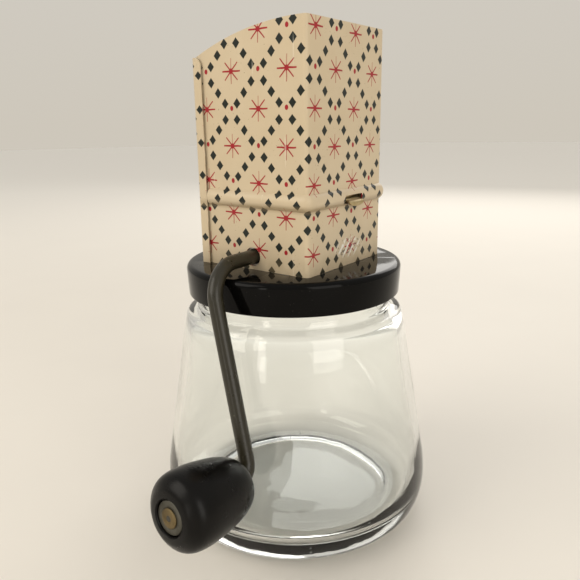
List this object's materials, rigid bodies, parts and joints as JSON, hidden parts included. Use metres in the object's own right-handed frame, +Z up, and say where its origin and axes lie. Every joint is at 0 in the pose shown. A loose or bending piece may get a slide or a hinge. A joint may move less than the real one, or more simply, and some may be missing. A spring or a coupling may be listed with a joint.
{
  "type": "nut chopper",
  "caption": "Hand-crank nut chopper: a square tin hopper on a screw lid over a round flared glass jar, with a bent-rod crank and barrel knob.",
  "frame": {"origin": "centre of the jar's flat underside", "axes": "+Z up along the jar's axis; -Y is the side where the crank comes out; +X is the tall panel with the slot"},
  "size_m": [0.098, 0.1307, 0.1704],
  "materials": {
    "glass": "clear pressed glass, smooth and glossy",
    "liner_board": "waxed board",
    "black_lid": "black moulded plastic, high gloss",
    "printed_tin": "cream lithographed tin with a red star and dark green diamond pattern, satin gloss",
    "grate_steel": "tinned sheet steel, yellowed",
    "painted_rod": "dark olive grey enamel, satin",
    "blade_steel": "stamped steel",
    "plain_tin": "tinned steel",
    "black_knob": "black, satin",
    "washer_steel": "aged steel"
  },
  "bodies": {
    "jar_body": {"jar": "glass"},
    "liner_body": {"lid_liner": "liner_board"},
    "head": {"screw_lid": "black_lid", "hopper_wrap": "printed_tin", "hopper_back": "printed_tin", "chopping_grate": "grate_steel"},
    "crank": {"crank_rod": "painted_rod", "star_blade_1": "blade_steel", "star_blade_2": "blade_steel", "star_blade_3": "blade_steel", "star_blade_4": "blade_steel", "star_blade_5": "blade_steel", "star_blade_6": "blade_steel", "blade_spacer_1": "plain_tin", "blade_spacer_2": "plain_tin", "blade_spacer_3": "plain_tin", "blade_spacer_4": "plain_tin", "blade_spacer_5": "plain_tin", "blade_spacer_6": "plain_tin", "blade_spacer_7": "plain_tin", "shaft_washer": "plain_tin", "shaft_push_nut": "plain_tin", "knob_washer": "washer_steel"},
    "knob_body": {"knob": "black_knob"}
  },
  "joints": [
    {"name": "lid_rise", "type": "slide", "parent": "jar_body", "child": "liner_body", "axis": [0, 0, 1], "range_m": [0, 0.0026]},
    {"name": "lid_turn", "type": "hinge", "parent": "liner_body", "child": "head", "pos_m": [0, 0, 0.089], "axis": [0, 0, 1], "range_deg": [0, 220]},
    {"name": "crank_turn", "type": "hinge", "parent": "head", "child": "crank", "pos_m": [0, 0, 0.0987], "axis": [0, -1, 0], "continuous": true},
    {"name": "knob_spin", "type": "hinge", "parent": "crank", "child": "knob_body", "pos_m": [0.01901, -0.06432, 0.0395], "axis": [-0.032, -0.9945, 0.0995], "continuous": true}
  ],
  "couplings": [
    {"joint": "lid_rise", "follows": "lid_turn", "m_per_rad": 0.00067323}
  ]
}
